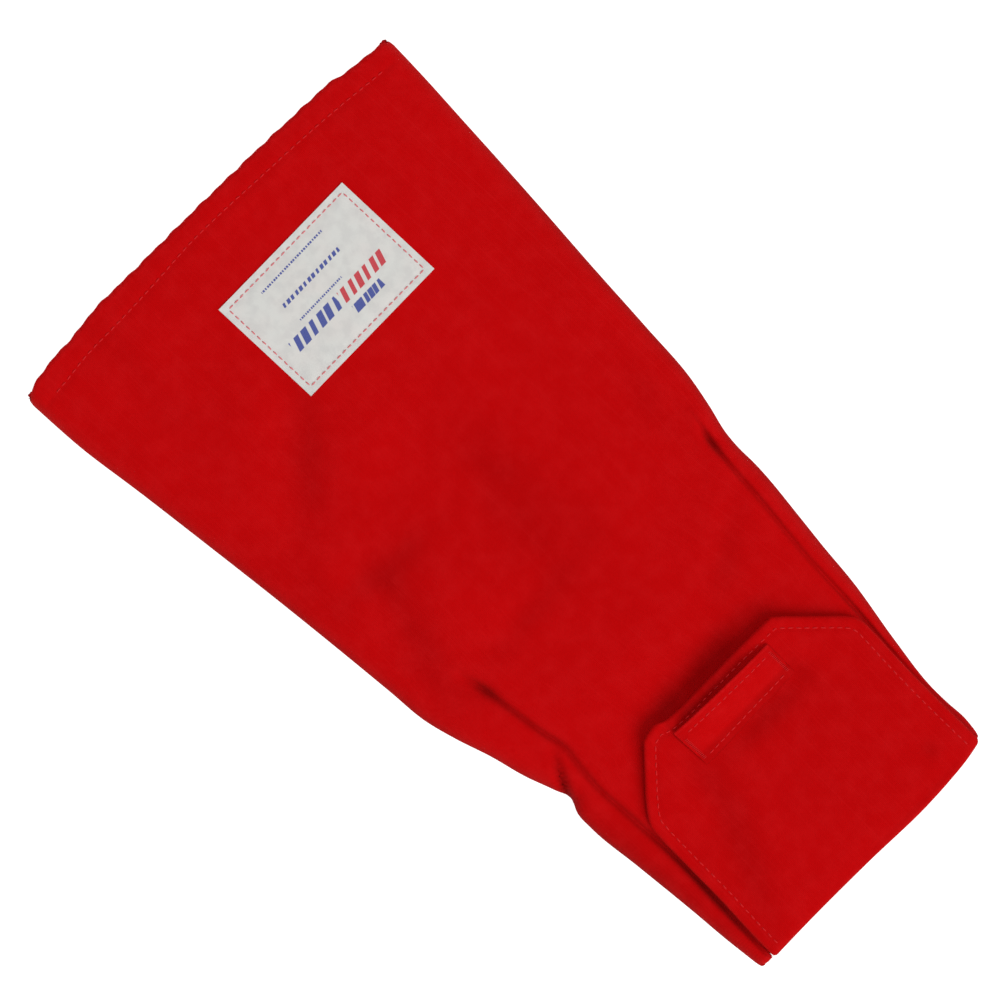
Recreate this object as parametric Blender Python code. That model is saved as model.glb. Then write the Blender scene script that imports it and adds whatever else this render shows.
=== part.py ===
"""Padded protective sleeve for the forearm, with a hand guard folded back over its front.

The sleeve is a flat tapered tube that lies on its back: +X points to the hand, +Z up, and the origin is
under the middle of the tube on the surface that it lies on. Each half of the tube, front and back, is a
shell, an insulation layer and a lining. The hand guard is a flap of the same three layers. It turns about
the fold at the wrist, and it carries a finger loop that tips up about its own lower edge.
All lengths are in metres.
"""

import math

import bmesh
import bpy

# Sleeve
LENGTH = 0.4572
HALF_LENGTH = LENGTH / 2
ELBOW_HALF_WIDTH = 0.1245
WRIST_HALF_WIDTH = 0.0778
SIDE_BOW = 0.0050
HEIGHT = 0.0200
MID_HEIGHT = HEIGHT / 2
SIDE_RADIUS = HEIGHT / 2
GAP = 0.0003

# Layers, as depths measured inwards from the outer surface
SHELL = 0.0012
INSULATION = 0.0020
LINING = 0.0008
INSULATION_DEPTH = SHELL + GAP
LINING_DEPTH = INSULATION_DEPTH + INSULATION + GAP
HEM_DEPTH = LINING_DEPTH + LINING + GAP
HEM_LENGTH = 0.0125
SEAM_CHANNEL = 0.0020
SEAM_THREAD_RADIUS = 0.0005
SEAM_THREAD_DEPTH = 0.0025

# Stitches that are bedded in a groove of the shell
STITCH_INSET = 0.0104
STITCH_WIDTH = 0.0005
STITCH_TOP_DEPTH = 0.0001
GROOVE_WIDTH = STITCH_WIDTH + 2 * GAP
GROOVE_DEPTH = STITCH_TOP_DEPTH + STITCH_WIDTH + GAP

# Label
LABEL_CENTRE = (-0.1550, 0.0145)
LABEL_SIZE = (0.0610, 0.0860)
LABEL_THICKNESS = 0.0005
LABEL_CORNER = 0.0015
LABEL_STITCH_INSET = 0.0033
THREAD_HEIGHT = 0.0004

# Hand guard flap. Its far edge curls up from the sleeve by FLAP_LIFT, starting at FLAP_LIFT_START.
FOLD_X = HALF_LENGTH - 0.0040
FOLD_Z = HEIGHT + GAP / 2
FLAP_REACH = 0.1161
FLAP_LIFT = 0.0035
FLAP_LIFT_START = 0.1635
FLAP_HALF_WIDTH = 0.0715
FLAP_SHIFT = 0.0050
FLAP_CHAMFER_X = 0.0290
FLAP_CHAMFER_Y = 0.0290
FLAP_SHELL = 0.0010
FLAP_INSULATION = 0.0018
FLAP_LINING = 0.0010
FLAP_SHELL_Z = HEIGHT + GAP
FLAP_INSULATION_Z = FLAP_SHELL_Z + FLAP_SHELL + GAP
FLAP_LINING_Z = FLAP_INSULATION_Z + FLAP_INSULATION + GAP
FLAP_TOP = FLAP_LINING_Z + FLAP_LINING
FLAP_FOLD_CLEARANCE = 0.0004
FLAP_STEPS = 12
TOPSTITCH_INSET = 0.0058
TOPSTITCH_RADIUS = 0.0003

# Finger loop
LOOP_FAR_X = 0.1170
LOOP_WIDTH = 0.0195
LOOP_LENGTH = 0.0620
LOOP_CENTRE_Y = 0.0055
LOOP_THICKNESS = 0.0016
LOOP_RISE_FAR = 0.0076
LOOP_RISE_NEAR = 0.0078
LOOP_STITCH_INSET = 0.0030
LOOP_STITCH_RADIUS = 0.0003
LOOP_STEPS = 16
TACK_LENGTH = 0.0120
TACK_WIDTH = 0.0012
TACK_HEIGHT = 0.0008

SIDE_STEPS = 6
LENGTH_STEPS = 8
RED = (0.46, 0.006, 0.007)
DARK_RED = (0.36, 0.006, 0.007)
THREAD_RED = (0.62, 0.045, 0.060)
WADDING = (0.80, 0.78, 0.72)
LABEL_WHITE = (0.80, 0.79, 0.76)


def clear_scene():
    for obj in list(bpy.data.objects):
        bpy.data.objects.remove(obj)


def make_material(name, colour, roughness):
    material = bpy.data.materials.new(name)
    material.use_nodes = True
    shader = material.node_tree.nodes["Principled BSDF"]
    shader.inputs["Base Color"].default_value = (*colour, 1.0)
    shader.inputs["Roughness"].default_value = roughness
    shader.inputs["Metallic"].default_value = 0.0
    material.diffuse_color = (*colour, 1.0)
    return material


def place(name, data, colour, roughness=0.9, pivot=None):
    """Adds an object whose data is in world coordinates, and hangs it on its pivot if it has one."""
    obj = bpy.data.objects.new(name, data)
    bpy.context.scene.collection.objects.link(obj)
    data.materials.append(make_material(name, colour, roughness))
    if pivot is not None:
        obj.parent = pivot
        obj.matrix_parent_inverse = pivot.matrix_world.inverted()
    return obj


def mesh_from(bm, name):
    bmesh.ops.recalc_face_normals(bm, faces=bm.faces)
    mesh = bpy.data.meshes.new(name)
    bm.to_mesh(mesh)
    bm.free()
    return mesh


def add_pivot(name, location, parent=None):
    """An empty on a joint's axis, which runs along Y."""
    pivot = bpy.data.objects.new(name, None)
    bpy.context.scene.collection.objects.link(pivot)
    pivot.location = location
    bpy.context.view_layer.update()
    if parent is not None:
        pivot.parent = parent
        pivot.matrix_parent_inverse = parent.matrix_world.inverted()
    bpy.context.view_layer.update()
    return pivot


def half_width(x):
    """Half the width of the flat tube at x: a straight taper, with sides that bow out a little."""
    share = (x + HALF_LENGTH) / LENGTH
    taper = ELBOW_HALF_WIDTH + (WRIST_HALF_WIDTH - ELBOW_HALF_WIDTH) * share
    return taper + SIDE_BOW * (1 - (x / HALF_LENGTH) ** 2)


def section_points(x, depth, seam_gap):
    """(y, height above the mid-plane) round one half of the tube, from its right seam to its left."""
    radius = SIDE_RADIUS - depth
    centre = half_width(x) - SIDE_RADIUS
    start = math.asin(seam_gap / 2 / radius)
    right = []
    for step in range(SIDE_STEPS + 1):
        angle = start + (math.pi / 2 - start) * step / SIDE_STEPS
        right.append((centre + radius * math.cos(angle), radius * math.sin(angle)))
    left = [(-y, rise) for y, rise in reversed(right)]
    return right + left


def wrap(profile, side, seam_gap=GAP):
    """A closed solid that runs from seam to seam round one half of the tube.

    profile is a closed outline of (x, depth) points. side is 1 for the front and -1 for the back.
    """
    bm = bmesh.new()
    columns = [section_points(x, depth, seam_gap) for x, depth in profile]
    rings = []
    for station in range(len(columns[0])):
        ring = []
        for (x, _depth), column in zip(profile, columns):
            y, rise = column[station]
            ring.append(bm.verts.new((x, y, MID_HEIGHT + side * rise)))
        rings.append(ring)
    count = len(profile)
    for ring, following in zip(rings, rings[1:]):
        for i in range(count):
            j = (i + 1) % count
            bm.faces.new((ring[i], ring[j], following[j], following[i]))
    bm.faces.new(rings[0])
    bm.faces.new(list(reversed(rings[-1])))
    return bm


def run(x_start, x_end, depth):
    """Points along the tube at one depth, close enough together to follow its bowed sides."""
    span = x_end - x_start
    return [(x_start + span * i / LENGTH_STEPS, depth) for i in range(LENGTH_STEPS + 1)]


def groove(x, outward):
    """The stitch groove in the outer surface at x, in the order in which a run reaches it."""
    half = outward * GROOVE_WIDTH / 2
    return [(x - half, 0.0), (x - half, GROOVE_DEPTH), (x + half, GROOVE_DEPTH), (x + half, 0.0)]


def hem(end):
    """The cloth turned in at one end of the tube, from its inner corner to its outer one."""
    edge = end * HALF_LENGTH
    inner_edge = edge - end * SHELL
    inner_end = edge - end * HEM_LENGTH
    return [
        (inner_edge, SHELL),
        (inner_edge, HEM_DEPTH),
        (inner_end, HEM_DEPTH),
        (inner_end, HEM_DEPTH + SHELL),
        (edge, HEM_DEPTH + SHELL),
    ]


def front_shell_profile():
    stitch = -HALF_LENGTH + STITCH_INSET
    outer = [(-HALF_LENGTH, 0.0)] + groove(stitch, 1) + run(stitch + 0.01, FOLD_X - GAP, 0.0)
    inner = run(FOLD_X - GAP, stitch + 0.01, SHELL)
    return outer + inner + hem(-1)


def back_shell_profile():
    stitch = HALF_LENGTH - STITCH_INSET
    outer = [(-HALF_LENGTH, 0.0)] + groove(-stitch, 1) + run(0.01 - stitch, stitch - 0.01, 0.0)
    outer += groove(stitch, 1) + [(HALF_LENGTH, 0.0)]
    wrist_hem = list(reversed(hem(1)))
    inner = run(stitch - 0.01, 0.01 - stitch, SHELL)
    return outer + wrist_hem + inner + hem(-1)


def layer_profile(depth, thickness, wrist_end):
    """A plain layer inside the shell, clear of the cloth turned in at the elbow end."""
    elbow_end = -HALF_LENGTH + SHELL + GAP
    return run(elbow_end, wrist_end, depth) + run(wrist_end, elbow_end, depth + thickness)


def stitch_profile(x):
    half = STITCH_WIDTH / 2
    top = STITCH_TOP_DEPTH
    bottom = STITCH_TOP_DEPTH + STITCH_WIDTH
    return [(x - half, top), (x + half, top), (x + half, bottom), (x - half, bottom)]


def add_sleeve_layers():
    """The front's layers stop at the fold of the flap, and the back's inside the hem at the wrist."""
    halves = (
        ("front", 1, front_shell_profile(), FOLD_X - GAP),
        ("back", -1, back_shell_profile(), HALF_LENGTH - SHELL - GAP),
    )
    for word, side, shell_profile, wrist_end in halves:
        shell = mesh_from(wrap(shell_profile, side), word + "_shell")
        place(word + "_shell", shell, RED)
        wadding_profile = layer_profile(INSULATION_DEPTH, INSULATION, wrist_end)
        wadding = mesh_from(wrap(wadding_profile, side, SEAM_CHANNEL), word + "_insulation")
        place(word + "_insulation", wadding, WADDING)
        lining_profile = layer_profile(LINING_DEPTH, LINING, wrist_end)
        lining = mesh_from(wrap(lining_profile, side), word + "_lining")
        place(word + "_lining", lining, DARK_RED)


def add_hem_stitching():
    elbow = -HALF_LENGTH + STITCH_INSET
    wrist = HALF_LENGTH - STITCH_INSET
    for name, x, side in (
        ("elbow_hem_front_stitching", elbow, 1),
        ("elbow_hem_back_stitching", elbow, -1),
        ("wrist_hem_back_stitching", wrist, -1),
    ):
        place(name, mesh_from(wrap(stitch_profile(x), side), name), THREAD_RED)


def add_thread(name, points, radius, colour=THREAD_RED, pivot=None):
    """A thread as a thin round bar along a line of points."""
    curve = bpy.data.curves.new(name, "CURVE")
    curve.dimensions = "3D"
    curve.bevel_depth = radius
    curve.bevel_resolution = 1
    curve.use_fill_caps = True
    spline = curve.splines.new("POLY")
    spline.points.add(len(points) - 1)
    for spline_point, (x, y, z) in zip(spline.points, points):
        spline_point.co = (x, y, z, 1.0)
    return place(name, curve, colour, pivot=pivot)


def add_side_seams():
    start = -HALF_LENGTH + SHELL + 2 * GAP
    end = HALF_LENGTH - SHELL - 2 * GAP
    for word, side in (("right", 1), ("left", -1)):
        points = []
        for x, _depth in run(start, end, 0.0):
            points.append((x, side * (half_width(x) - SEAM_THREAD_DEPTH), MID_HEIGHT))
        add_thread(word + "_side_seam", points, SEAM_THREAD_RADIUS)


def extrude_outline(outline, bottom, thickness):
    """A flat plate with a straight-sided outline of (x, y) points."""
    bm = bmesh.new()
    face = bm.faces.new([bm.verts.new((x, y, bottom)) for x, y in outline])
    grown = bmesh.ops.extrude_face_region(bm, geom=[face])
    top = [v for v in grown["geom"] if isinstance(v, bmesh.types.BMVert)]
    bmesh.ops.translate(bm, verts=top, vec=(0.0, 0.0, thickness))
    return bm


def round_upright_edges(bm, radius, segments=3):
    upright = []
    for edge in bm.edges:
        a, b = (v.co for v in edge.verts)
        if abs(a.x - b.x) + abs(a.y - b.y) < 1e-6:
            upright.append(edge)
    bmesh.ops.bevel(bm, geom=upright, offset=radius, segments=segments, profile=0.5, affect="EDGES")


def rectangle(centre, size, inset=0.0):
    x, y = centre
    half_x = size[0] / 2 - inset
    half_y = size[1] / 2 - inset
    return [(x - half_x, y - half_y), (x + half_x, y - half_y), (x + half_x, y + half_y), (x - half_x, y + half_y)]


def frame_ring(outer, inner, bottom, height):
    """A flat ring between two outlines that have the same number of points."""
    bm = bmesh.new()
    loops = []
    for outline in (outer, inner):
        for z in (bottom, bottom + height):
            loops.append([bm.verts.new((x, y, z)) for x, y in outline])
    outer_low, outer_high, inner_low, inner_high = loops
    count = len(outer)
    for i in range(count):
        j = (i + 1) % count
        bm.faces.new((outer_low[i], outer_low[j], outer_high[j], outer_high[i]))
        bm.faces.new((inner_low[j], inner_low[i], inner_high[i], inner_high[j]))
        bm.faces.new((outer_high[i], outer_high[j], inner_high[j], inner_high[i]))
        bm.faces.new((outer_low[j], outer_low[i], inner_low[i], inner_low[j]))
    return bm


def add_label():
    bottom = HEIGHT + GAP
    plate = extrude_outline(rectangle(LABEL_CENTRE, LABEL_SIZE), bottom, LABEL_THICKNESS)
    round_upright_edges(plate, LABEL_CORNER)
    place("label", mesh_from(plate, "label"), LABEL_WHITE, 0.8)
    outer = rectangle(LABEL_CENTRE, LABEL_SIZE, LABEL_STITCH_INSET)
    inner = rectangle(LABEL_CENTRE, LABEL_SIZE, LABEL_STITCH_INSET + STITCH_WIDTH)
    ring = frame_ring(outer, inner, bottom + LABEL_THICKNESS + GAP, THREAD_HEIGHT)
    place("label_stitching", mesh_from(ring, "label_stitching"), THREAD_RED)


def flap_lift(x):
    """How far the flap stands off the flat front at x."""
    far = FOLD_X - FLAP_REACH
    share = (FLAP_LIFT_START - x) / (FLAP_LIFT_START - far)
    return FLAP_LIFT * max(0.0, share) ** 2


def flap_side(x, inset=0.0):
    """How far the flap's side edge is from the flap's centre line at x, with its two far corners cut off."""
    beyond_far_edge = x - (FOLD_X - FLAP_REACH + inset)
    corner = FLAP_CHAMFER_X - inset * math.tan(math.pi / 8)
    cut = max(0.0, corner - beyond_far_edge) * FLAP_CHAMFER_Y / FLAP_CHAMFER_X
    return FLAP_HALF_WIDTH - inset - cut


def flap_stations():
    """Places along the flap where its layers have a cross-section, from its far edge to the fold."""
    far = FOLD_X - FLAP_REACH
    near = FOLD_X - FLAP_FOLD_CLEARANCE
    corner = far + FLAP_CHAMFER_X
    before = [far + FLAP_CHAMFER_X * i / FLAP_STEPS for i in range(FLAP_STEPS)]
    after = [corner + (near - corner) * i / FLAP_STEPS for i in range(FLAP_STEPS + 1)]
    return before + after


def loft(sections):
    """A closed solid through four-cornered cross-sections."""
    bm = bmesh.new()
    rings = [[bm.verts.new(corner) for corner in corners] for corners in sections]
    for ring, following in zip(rings, rings[1:]):
        for i in range(4):
            j = (i + 1) % 4
            bm.faces.new((ring[i], ring[j], following[j], following[i]))
    bm.faces.new(rings[0])
    bm.faces.new(list(reversed(rings[-1])))
    return bm


def flap_layer(name, bottom, thickness, colour, pivot):
    sections = []
    for x in flap_stations():
        left = FLAP_SHIFT - flap_side(x)
        right = FLAP_SHIFT + flap_side(x)
        low = bottom + flap_lift(x)
        high = low + thickness
        sections.append(((x, left, low), (x, right, low), (x, right, high), (x, left, high)))
    place(name, mesh_from(loft(sections), name), colour, pivot=pivot)


def add_flap(pivot):
    flap_layer("flap_shell", FLAP_SHELL_Z, FLAP_SHELL, RED, pivot)
    flap_layer("flap_insulation", FLAP_INSULATION_Z, FLAP_INSULATION, WADDING, pivot)
    flap_layer("flap_lining", FLAP_LINING_Z, FLAP_LINING, RED, pivot)
    far = FOLD_X - FLAP_REACH + TOPSTITCH_INSET
    stations = [far] + [x for x in flap_stations() if x > far + TOPSTITCH_RADIUS]
    right_side = [(x, FLAP_SHIFT + flap_side(x, TOPSTITCH_INSET)) for x in stations]
    left_side = [(x, FLAP_SHIFT - flap_side(x, TOPSTITCH_INSET)) for x in reversed(stations)]
    height = FLAP_TOP + GAP + TOPSTITCH_RADIUS
    points = [(x, y, height + flap_lift(x)) for x, y in left_side + right_side]
    add_thread("flap_topstitching", points, TOPSTITCH_RADIUS, pivot=pivot)


def loop_underside(x, y):
    """Height of the loop's underside. It rises from the flap at both ends of the loop."""
    across = (x - LOOP_FAR_X) / LOOP_WIDTH
    crown = LOOP_RISE_FAR + (LOOP_RISE_NEAR - LOOP_RISE_FAR) * across
    along = (y - LOOP_CENTRE_Y) / (LOOP_LENGTH / 2)
    return FLAP_TOP + flap_lift(x) + GAP + crown * (1 - along**4)


def loop_stations():
    half = LOOP_LENGTH / 2
    return [LOOP_CENTRE_Y - half + LOOP_LENGTH * i / LOOP_STEPS for i in range(LOOP_STEPS + 1)]


def add_finger_loop(pivot):
    near = LOOP_FAR_X + LOOP_WIDTH
    sections = []
    for y in loop_stations():
        low_far = loop_underside(LOOP_FAR_X, y)
        low_near = loop_underside(near, y)
        high_far = low_far + LOOP_THICKNESS
        high_near = low_near + LOOP_THICKNESS
        far_corners = ((LOOP_FAR_X, y, high_far), (LOOP_FAR_X, y, low_far))
        near_corners = ((near, y, low_near), (near, y, high_near))
        sections.append(far_corners + near_corners)
    place("finger_loop", mesh_from(loft(sections), "finger_loop"), RED, pivot=pivot)

    lift = LOOP_THICKNESS + 2 * GAP + LOOP_STITCH_RADIUS
    rows = (("upper", LOOP_FAR_X + LOOP_STITCH_INSET), ("lower", near - LOOP_STITCH_INSET))
    for word, x in rows:
        points = [(x, y, lift + loop_underside(x, y)) for y in loop_stations()[1:-1]]
        add_thread(f"finger_loop_{word}_stitching", points, LOOP_STITCH_RADIUS, pivot=pivot)


def add_loop_tacks(pivot):
    """The two bar tacks that hold the ends of the loop to the flap."""
    middle = LOOP_FAR_X + LOOP_WIDTH / 2
    reach = LOOP_LENGTH / 2 + GAP
    for word, side in (("right", 1), ("left", -1)):
        inner = LOOP_CENTRE_Y + side * reach
        outer = inner + side * TACK_WIDTH
        sections = []
        for x in (middle - TACK_LENGTH / 2, middle, middle + TACK_LENGTH / 2):
            low = FLAP_TOP + flap_lift(x) + GAP
            high = low + TACK_HEIGHT
            sections.append(((x, inner, low), (x, outer, low), (x, outer, high), (x, inner, high)))
        name = f"finger_loop_{word}_tack"
        place(name, mesh_from(loft(sections), name), THREAD_RED, pivot=pivot)


def build():
    clear_scene()
    add_sleeve_layers()
    add_hem_stitching()
    add_side_seams()
    add_label()
    flap_pivot = add_pivot("flap_pivot", (FOLD_X, 0.0, FOLD_Z))
    add_flap(flap_pivot)
    add_loop_tacks(flap_pivot)
    loop_near_edge = LOOP_FAR_X + LOOP_WIDTH
    loop_axis = (loop_near_edge + GAP / 2, 0.0, FLAP_TOP + flap_lift(loop_near_edge) + GAP / 2)
    loop_pivot = add_pivot("finger_loop_pivot", loop_axis, flap_pivot)
    add_finger_loop(loop_pivot)


build()
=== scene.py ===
import math

import bpy
import numpy as np
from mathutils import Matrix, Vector, noise


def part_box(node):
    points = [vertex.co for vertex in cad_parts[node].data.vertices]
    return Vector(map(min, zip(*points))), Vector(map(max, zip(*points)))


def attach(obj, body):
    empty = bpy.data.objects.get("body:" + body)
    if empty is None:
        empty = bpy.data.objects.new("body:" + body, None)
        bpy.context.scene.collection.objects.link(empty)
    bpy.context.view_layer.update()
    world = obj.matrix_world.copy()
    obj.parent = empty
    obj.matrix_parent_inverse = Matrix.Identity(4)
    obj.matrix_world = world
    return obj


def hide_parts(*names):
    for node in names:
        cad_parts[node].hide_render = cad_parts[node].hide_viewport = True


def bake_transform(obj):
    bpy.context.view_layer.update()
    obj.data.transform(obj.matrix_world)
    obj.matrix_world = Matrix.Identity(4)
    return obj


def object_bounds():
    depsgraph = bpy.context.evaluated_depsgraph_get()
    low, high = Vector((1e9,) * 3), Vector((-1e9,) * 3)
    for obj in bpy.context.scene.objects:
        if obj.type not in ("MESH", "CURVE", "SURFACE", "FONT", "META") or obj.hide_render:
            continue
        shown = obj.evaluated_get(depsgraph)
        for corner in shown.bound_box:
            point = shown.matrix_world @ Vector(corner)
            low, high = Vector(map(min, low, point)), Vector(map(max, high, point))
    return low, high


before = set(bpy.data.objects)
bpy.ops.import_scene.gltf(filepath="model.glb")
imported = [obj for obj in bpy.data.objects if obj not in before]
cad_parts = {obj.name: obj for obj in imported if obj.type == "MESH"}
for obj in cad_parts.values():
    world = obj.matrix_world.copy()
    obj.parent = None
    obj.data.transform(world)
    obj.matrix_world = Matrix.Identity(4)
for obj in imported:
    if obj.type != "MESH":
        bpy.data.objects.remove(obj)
cad_low, cad_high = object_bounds()

# All shapes are worked out in millimetres and turned into metres when a mesh is made.
MM = 0.001
HALF = cad_high[0] / MM
SLEEVE_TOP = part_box("front_shell")[1].z / MM

# Thicknesses of the layers, and how deep below the surface the inner ones lie.
SHELL = 1.2
INSULATION = 2.0
LINING = 0.8
INSULATION_DEPTH = 1.5
LINING_DEPTH = 4.6

# Hems: how thick the turned edge is, how far it reaches in, and where its stitches run.
HEM_DEPTH = 6.1
HEM_LENGTH = 12.5
HEM_STITCH_INSET = 10.4
BACK_HEM_SHORT = 0.2
FRONT_HEM_PROUD = 0.4
BACK_CHANNEL = 0.95
SEAM_ANGLE = 1.2

# The front shell: where its plain part ends, and where it stops under the flap.
TURN_FROM = 204.0
FRONT_END = 224.2
FRONT_COLUMNS = (17, 116)

# The flap: its two ends along the sleeve, its three heights, and the fold that joins it to the sleeve.
FLAP_FRONT = 228.0
FLAP_FAR = 109.6
FLAP_SQUARE_FROM = 155.2
FLAP_UNDER = 20.3
FLAP_MIDDLE = 22.55
FLAP_TOP = 24.7
FLAP_CLOTH = 1.0
TOPSTITCH = 5.7
FOLD_X = 223.6
FOLD_Z = 19.5
FOLD_RADIUS = 5.2
FOLD_SQUARE = 0.72
TONGUE_START = 211.0
TONGUE = (-60.5, 65.5)
UNDER_FOLD_X = 223.7
UNDER_FOLD_RADIUS = 0.8
UNDER_FOLD_LOW = 16.7


def smooth(t):
    t = np.clip(t, 0, 1)
    return t * t * (3 - 2 * t)


def curve(*points):
    """A smooth function through a few points."""
    xs, ys = np.array(points, float).T
    slopes = np.gradient(ys, xs)

    def value(x):
        x = np.clip(x, xs[0], xs[-1])
        i = np.clip(np.searchsorted(xs, x) - 1, 0, len(xs) - 2)
        h = xs[i + 1] - xs[i]
        t = (x - xs[i]) / h
        a = (1 + 2 * t) * (1 - t) ** 2
        b = t * (1 - t) ** 2 * h
        c = t * t * (3 - 2 * t)
        d = t * t * (t - 1) * h
        return a * ys[i] + b * slopes[i] + c * ys[i + 1] + d * slopes[i + 1]

    return value


def xyz(x, y, z):
    """Points from their three coordinates, of which some may be single numbers."""
    return np.stack(np.broadcast_arrays(x, y, z), -1)


def steps(line):
    """Length along a line up to each of its points."""
    return np.concatenate([[0], np.cumsum(np.linalg.norm(np.diff(line, axis=0), axis=1))])


def route(points, count=120):
    """Evenly spaced points on a smooth line through the given ones, in plan."""
    points = np.array(points, float)
    s = steps(points)
    fx = curve(*zip(s, points[:, 0]))
    fy = curve(*zip(s, points[:, 1]))
    t = np.linspace(0, s[-1], count)
    return np.stack([fx(t), fy(t)], -1)


def distance(x, y, line):
    """Distance from points to a line of points, which side they are on, and the share of its length."""
    a, b = line[:-1], line[1:]
    d = b - a
    length = (d ** 2).sum(-1)
    best = np.full(np.shape(x), 1e9)
    share = np.zeros(np.shape(x))
    side = np.zeros(np.shape(x))
    for k in range(len(a)):
        px, py = x - a[k, 0], y - a[k, 1]
        t = np.clip((px * d[k, 0] + py * d[k, 1]) / max(length[k], 1e-9), 0, 1)
        qx, qy = px - t * d[k, 0], py - t * d[k, 1]
        q = qx * qx + qy * qy
        near = q < best
        best = np.where(near, q, best)
        share = np.where(near, (k + t) / len(a), share)
        side = np.where(near, np.sign(d[k, 0] * py - d[k, 1] * px), side)
    return np.sqrt(best), side, share


def swell(x, y, centre, along, across, turn, height):
    """A soft hill or hollow: an ellipse turned by so many degrees."""
    c, s = math.cos(math.radians(turn)), math.sin(math.radians(turn))
    u = ((x - centre[0]) * c + (y - centre[1]) * s) / along
    v = (-(x - centre[0]) * s + (y - centre[1]) * c) / across
    return height * np.exp(-(u * u + v * v))


def crumple(x, y, size, seed):
    """Smooth noise between about -1 and 1, as wide as size."""
    x, y = np.broadcast_arrays(x, y)
    out = np.empty(x.size)
    flat_x, flat_y = x.ravel() / size, y.ravel() / size
    for k in range(x.size):
        out[k] = noise.noise(Vector((flat_x[k], flat_y[k], seed)))
    return out.reshape(x.shape)


# ---- outline of the sleeve

right_edge = curve((-HALF, 124.6), (-190, 122.8), (-150, 120), (-110, 116.7), (-70, 113), (-30, 109.7),
                   (3, 106.6), (20, 102.9), (34, 99.2), (44, 98.1), (54, 98), (90, 94), (106, 91.8),
                   (130, 89), (165, 82.4), (192, 78.4), (206, 78.2), (218, 78.6), (HALF, 77.4))
left_edge = curve((-HALF, 125.8), (-190, 124.5), (-150, 120.2), (-110, 116.2), (-70, 112.4), (-30, 109.1),
                  (3, 106.7), (25, 105.2), (42, 101.2), (60, 95.7), (80, 90.8), (94, 86), (103, 83.3),
                  (110, 86.4), (120, 87.1), (150, 84.8), (185, 82.1), (207, 80.8), (HALF, 78.9))
elbow_end = curve((-126, -223), (-116, -226.6), (-100, -228.6), (-86, -229), (-73, -230.4), (-45, -229.8),
                  (0, -228.5), (45, -226.6), (70, -225), (84, -224.1), (91, -223.3), (96, -221.8), (101, -220.8),
                  (110, -219.8), (120, -218.4), (125, -217.8))
wrist_end = curve((-80, 226.9), (-71, 226.6), (-50, 226.5), (-5, 227.6), (35, 229.4), (50, 229), (65, 227.8),
                  (72, 226.6), (80, 224.6))
seam_height = curve((-HALF, 6.8), (0, 7.2), (HALF, 8.4))
edge_width = curve((-HALF, 7.5), (-214, 8.5), (-195, 11.5), (-150, 12.5), (60, 12), (150, 10.5), (HALF, 9))


def wrist_shift(x, y):
    """How far the bowed wrist end moves a point along the sleeve."""
    return smooth(1 - (HALF - x) / 45) * (wrist_end(y) - HALF)


def bend_ends(x, y):
    """Moves the straight ends to their real, slightly bowed lines."""
    elbow = smooth(1 - (x + HALF) / 70)
    ripple = 0.22 * np.sin(y / 1.55) + 0.16 * np.sin(y / 2.7 + 1.0)
    near = smooth(1 - (x + HALF) / 14)
    return x + elbow * (elbow_end(y) + HALF) + wrist_shift(x, y) - near * ripple


# ---- relief of the sleeve's front

RIGHT_GROOVE = route([(8, 96), (20, 93.2), (31, 90.4), (45, 88.5), (70, 86), (100, 82.2), (140, 79.6),
                      (165, 77.2), (195, 76.2), (224, 75.9)])
LEFT_GROOVE = route([(18, -77), (34, -73.6), (50, -71.6), (70, -69), (82, -66.8), (92, -68.3),
                     (105, -69.8), (130, -69.2), (160, -68.4), (190, -69.8), (210, -71), (226, -71.8)])
right_groove_at = curve(*RIGHT_GROOVE[::6])
left_groove_at = curve(*LEFT_GROOVE[::6])
LEFT_PINCH = route([(79, -69.5), (84, -74), (91, -78.4), (97, -81.6), (104, -84.8)], 50)
RIGHT_DEPTH = curve((0, 0), (0.06, 0.7), (0.10, 3.2), (0.13, 3), (0.17, 2.5), (0.3, 2.2), (0.55, 2.5),
                    (0.62, 3.6), (0.74, 3.6), (0.85, 2.2), (1, 1.4))
LEFT_DEPTH = curve((0, 0), (0.03, 1.2), (0.07, 2.8), (0.1, 2.7), (0.14, 2.5), (0.3, 2.5), (0.42, 2.3),
                   (0.6, 3), (0.70, 4.6), (0.84, 4.6), (0.92, 3), (1, 2))
PINCH_DEPTH = curve((0, 0.8), (0.3, 3), (0.7, 5), (1, 6))
ELBOW_STITCHES = [(-207.6, 116.5), (-208.4, 108), (-211.2, 86), (-213.8, 60), (-215.8, 32),
                  (-217.8, 2), (-218.3, -14), (-217.4, -40), (-217, -66), (-217, -92),
                  (-216.0, -102.0), (-214.8, -118.5)]
HEM_LINE = route(ELBOW_STITCHES)
BACK_WRIST_LINE = route([(wrist_end(y) - BACK_HEM_SHORT - HEM_STITCH_INSET, y) for y in np.linspace(-72, 72, 9)])

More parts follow.
